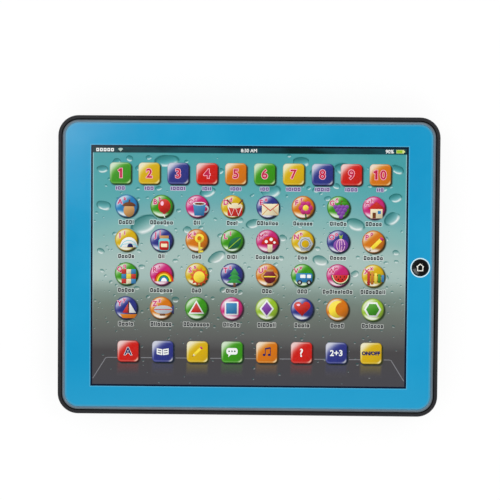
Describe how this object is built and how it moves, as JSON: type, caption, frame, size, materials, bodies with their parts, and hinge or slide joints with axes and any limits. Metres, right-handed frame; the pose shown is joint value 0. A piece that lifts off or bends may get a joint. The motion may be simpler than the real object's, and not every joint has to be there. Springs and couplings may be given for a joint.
{
  "type": "kids toy tablet",
  "caption": "Flat electronic learning toy for children: black casing, grey inner frame, glossy printed face over a switch sheet, home button, speaker and battery box.",
  "frame": {"origin": "middle of the flat back, on the plane that the tablet rests on", "axes": "+X to the right along the long side, +Y towards the top edge, +Z out of the printed face"},
  "size_m": [0.242, 0.19, 0.022],
  "materials": {
    "casing_black": "moulded ABS, satin gloss",
    "frame_grey": "moulded ABS, satin",
    "face_print": "printed plastic sheet, glossy",
    "clear_film": "thin polyester sheet with printed silver tracks",
    "button_black": "polished",
    "dome_rubber": "silicone rubber",
    "screw_steel": "zinc plated",
    "basket_steel": "zinc plated sheet",
    "magnet_ferrite": "sintered ferrite",
    "cone_paper": "coated paper",
    "board_laminate": "phenolic paper laminate",
    "resin_black": "epoxy resin",
    "battery_jacket": "plain shrink sleeve",
    "contact_nickel": "nickel plated spring steel",
    "capacitor_sleeve": "shrink sleeve",
    "resistor_tan": "lacquered ceramic",
    "lead_red": "PVC insulation",
    "lead_black": "PVC insulation"
  },
  "bodies": {
    "tablet": {"back_shell": "casing_black", "front_frame": "frame_grey", "face_overlay": "face_print", "top_circuit_film": "clear_film", "spacer_film": "clear_film", "bottom_circuit_film": "clear_film", "home_dome": "dome_rubber", "casing_screws": "screw_steel", "speaker_basket": "basket_steel", "speaker_magnet": "magnet_ferrite", "speaker_cone": "cone_paper", "speaker_terminals": "board_laminate", "speaker_screws": "screw_steel", "circuit_board": "board_laminate", "board_screws": "screw_steel", "tail_clamp": "casing_black", "clamp_screws": "screw_steel", "chip_blob": "resin_black", "transistor": "resin_black", "battery_1": "battery_jacket", "battery_2": "battery_jacket", "battery_3": "battery_jacket", "battery_spring_1": "contact_nickel", "battery_spring_2": "contact_nickel", "battery_spring_3": "contact_nickel", "battery_contact_minus": "contact_nickel", "battery_contact_plus": "contact_nickel", "battery_link_1": "contact_nickel", "battery_link_2": "contact_nickel", "capacitor_1": "capacitor_sleeve", "capacitor_2": "capacitor_sleeve", "resistor_1": "resistor_tan", "resistor_2": "resistor_tan", "resistor_3": "resistor_tan", "resistor_4": "resistor_tan", "battery_lead_plus": "lead_red", "battery_lead_minus": "lead_black", "speaker_lead_1": "lead_red", "speaker_lead_2": "lead_black"},
    "home_button": {"home_button": "button_black"},
    "battery_door": {"battery_door": "casing_black"},
    "door_screw": {"door_screw": "screw_steel"}
  },
  "joints": [
    {"name": "home_press", "type": "slide", "parent": "tablet", "child": "home_button", "axis": [0, 0, -1], "range_m": [0, 0.0008], "stiffness_N_per_m": 1200, "springref_m": -0.0002, "deforming": ["home_dome"]},
    {"name": "door_tilt", "type": "hinge", "parent": "tablet", "child": "battery_door", "pos_m": [0, -0.0624, 0.0003], "axis": [-1, 0, 0], "range_deg": [0, 80]},
    {"name": "door_screw_turn", "type": "hinge", "parent": "battery_door", "child": "door_screw", "pos_m": [0, -0.0108, 0.0013], "axis": [0, 0, 1], "range_deg": [0, 1080]}
  ]
}
